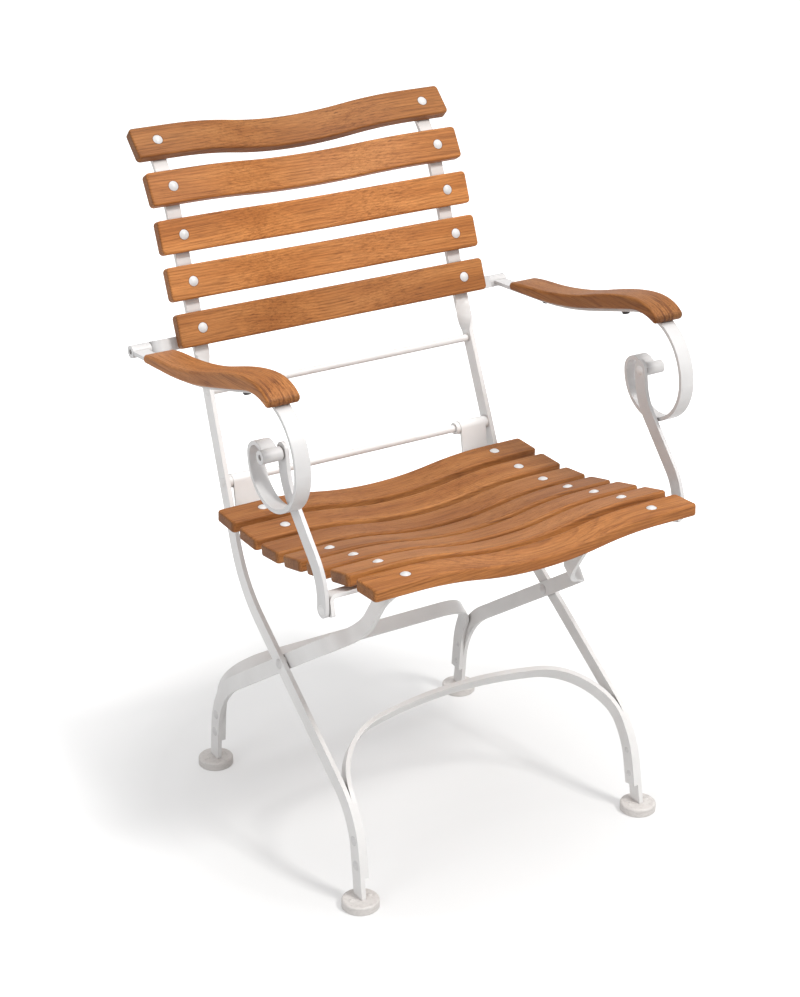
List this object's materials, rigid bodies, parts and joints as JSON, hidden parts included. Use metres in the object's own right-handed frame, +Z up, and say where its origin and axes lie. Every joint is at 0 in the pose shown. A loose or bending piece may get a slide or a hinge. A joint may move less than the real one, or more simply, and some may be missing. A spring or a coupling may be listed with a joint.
{
  "type": "folding armchair",
  "caption": "Folding patio armchair with a white flat bar steel frame, bowed teak slats on seat and back, scrolled arms with teak armrests and round foot glides.",
  "frame": {"origin": "on the floor under the middle of the chair", "axes": "+Z up, -Y to the front of the chair, +X to the sitter's left; left and right in the node names are as seen from the front, so left is -X"},
  "size_m": [0.602, 0.6232, 0.8772],
  "materials": {
    "white_steel": "semi-gloss white powder coat",
    "teak": "oiled teak",
    "glide": "moulded white plastic"
  },
  "bodies": {
    "main_frame": {"arm_bracket_left": "white_steel", "arm_bracket_right": "white_steel", "arm_pivot_pins": "white_steel", "back_slat_1": "teak", "back_slat_2": "teak", "back_slat_3": "teak", "back_slat_4": "teak", "back_slat_5": "teak", "back_slat_rivets": "white_steel", "front_arch": "white_steel", "front_arch_rivets": "white_steel", "front_foot_left": "glide", "front_foot_right": "glide", "hinge_rod": "white_steel", "hinge_rod_collars": "white_steel", "hinge_rod_washers": "white_steel", "leg_pivot_rivets": "white_steel", "leg_pivot_washers": "white_steel", "side_bar_left": "white_steel", "side_bar_right": "white_steel", "upper_rod": "white_steel"},
    "rear_frame": {"rear_foot_left": "glide", "rear_foot_right": "glide", "rear_leg_left": "white_steel", "rear_leg_right": "white_steel", "rear_stretcher": "white_steel", "rear_stretcher_rivets": "white_steel", "rear_top_strap": "white_steel"},
    "seat": {"hinge_plate_left": "white_steel", "hinge_plate_right": "white_steel", "seat_cross_bar": "white_steel", "seat_rail_left": "white_steel", "seat_rail_right": "white_steel", "seat_slat_1": "teak", "seat_slat_2": "teak", "seat_slat_3": "teak", "seat_slat_4": "teak", "seat_slat_5": "teak", "seat_slat_6": "teak", "seat_slat_7": "teak", "seat_slat_rivets": "white_steel"},
    "arm_left": {"arm_bar_left": "white_steel", "armrest_left": "teak", "arm_screws_left": "white_steel"},
    "arm_right": {"arm_bar_right": "white_steel", "armrest_right": "teak", "arm_screws_right": "white_steel"},
    "support_left": {"arm_support_left": "white_steel", "support_top_pin_left": "white_steel", "support_bolt_left": "white_steel"},
    "support_right": {"arm_support_right": "white_steel", "support_top_pin_right": "white_steel", "support_bolt_right": "white_steel"}
  },
  "joints": [
    {"name": "leg_fold", "type": "hinge", "parent": "main_frame", "child": "rear_frame", "pos_m": [0, -0.04012, 0.249], "axis": [-1, 0, 0], "range_deg": [0, 64]},
    {"name": "seat_lift", "type": "hinge", "parent": "main_frame", "child": "seat", "pos_m": [0, 0.10836, 0.446], "axis": [-1, 0, 0], "range_deg": [0, 96]},
    {"name": "arm_lift_left", "type": "hinge", "parent": "main_frame", "child": "arm_left", "pos_m": [-0.276, 0.19544, 0.61424], "axis": [-1, 0, 0], "range_deg": [0, 96]},
    {"name": "arm_lift_right", "type": "hinge", "parent": "main_frame", "child": "arm_right", "pos_m": [0.276, 0.19544, 0.61424], "axis": [-1, 0, 0], "range_deg": [0, 96]},
    {"name": "support_turn_left", "type": "hinge", "parent": "arm_left", "child": "support_left", "pos_m": [-0.2815, -0.15322, 0.58937], "axis": [1, 0, 0], "range_deg": [0, 96]},
    {"name": "support_turn_right", "type": "hinge", "parent": "arm_right", "child": "support_right", "pos_m": [0.2815, -0.15322, 0.58937], "axis": [1, 0, 0], "range_deg": [0, 96]}
  ],
  "couplings": [
    {"joint": "seat_lift", "follows": "leg_fold", "ratio": 1.5},
    {"joint": "arm_lift_left", "follows": "leg_fold", "ratio": 1.5},
    {"joint": "arm_lift_right", "follows": "leg_fold", "ratio": 1.5},
    {"joint": "support_turn_left", "follows": "leg_fold", "ratio": 1.5},
    {"joint": "support_turn_right", "follows": "leg_fold", "ratio": 1.5}
  ]
}
